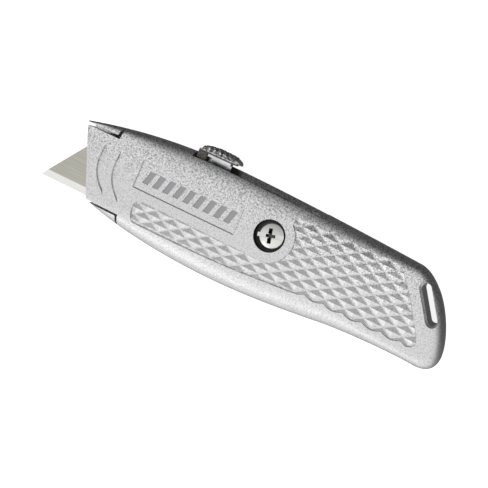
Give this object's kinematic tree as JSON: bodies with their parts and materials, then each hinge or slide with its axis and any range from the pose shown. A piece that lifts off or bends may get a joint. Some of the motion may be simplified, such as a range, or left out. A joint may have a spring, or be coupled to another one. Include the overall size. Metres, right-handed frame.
{
  "type": "retractable utility knife",
  "caption": "Two-piece cast handle with a grip pattern, a clamp screw, a hanging slot and a sliding trapezoid blade moved by a thumb button.",
  "frame": {"origin": "on the clamp screw's axis, at the flat outer face of the right shell, which the knife lies on", "axes": "+X to the tail, -X to the blade's tip; +Y to the back, where the thumb button is; +Z to the left face, where the clamp screw's head is"},
  "size_m": [0.167, 0.0453, 0.017],
  "materials": {
    "cast_zinc": "speckled silver-grey blasted cast zinc",
    "bare_zinc": "bare cast zinc, cross-knurled",
    "plated_steel": "bright zinc-plated steel",
    "blade_steel": "ground carbon steel with a bright bevel",
    "sheet_steel": "folded sheet steel",
    "spring_steel": "blued spring steel"
  },
  "bodies": {
    "handle": {"right_shell": "cast_zinc", "spare_blade_clip": "spring_steel", "spare_blade_1": "blade_steel", "spare_blade_2": "blade_steel", "spare_blade_3": "blade_steel", "spare_blade_4": "blade_steel", "spare_blade_5": "blade_steel"},
    "cover": {"left_shell": "cast_zinc"},
    "screw": {"clamp_screw": "plated_steel"},
    "slider": {"blade_carriage": "sheet_steel", "working_blade": "blade_steel", "lock_spring": "spring_steel", "spring_rivets": "plated_steel"},
    "button": {"thumb_button": "bare_zinc", "button_bracket": "plated_steel", "lock_pin": "spring_steel"}
  },
  "joints": [
    {"name": "blade_slide", "type": "slide", "parent": "handle", "child": "slider", "axis": [1, 0, 0], "range_m": [0, 0.037]},
    {"name": "button_press", "type": "slide", "parent": "slider", "child": "button", "axis": [0, -1, 0], "range_m": [0, 0.001], "stiffness_N_per_m": 4000, "springref_m": -0.001, "deforming": ["lock_spring"]},
    {"name": "cover_lift", "type": "slide", "parent": "handle", "child": "cover", "axis": [0, 0, 1], "range_m": [0, 0.03]},
    {"name": "screw_turn", "type": "hinge", "parent": "cover", "child": "screw", "pos_m": [0, 0, 0.0164], "axis": [0, 0, 1], "range_deg": [0, 2655]}
  ]
}
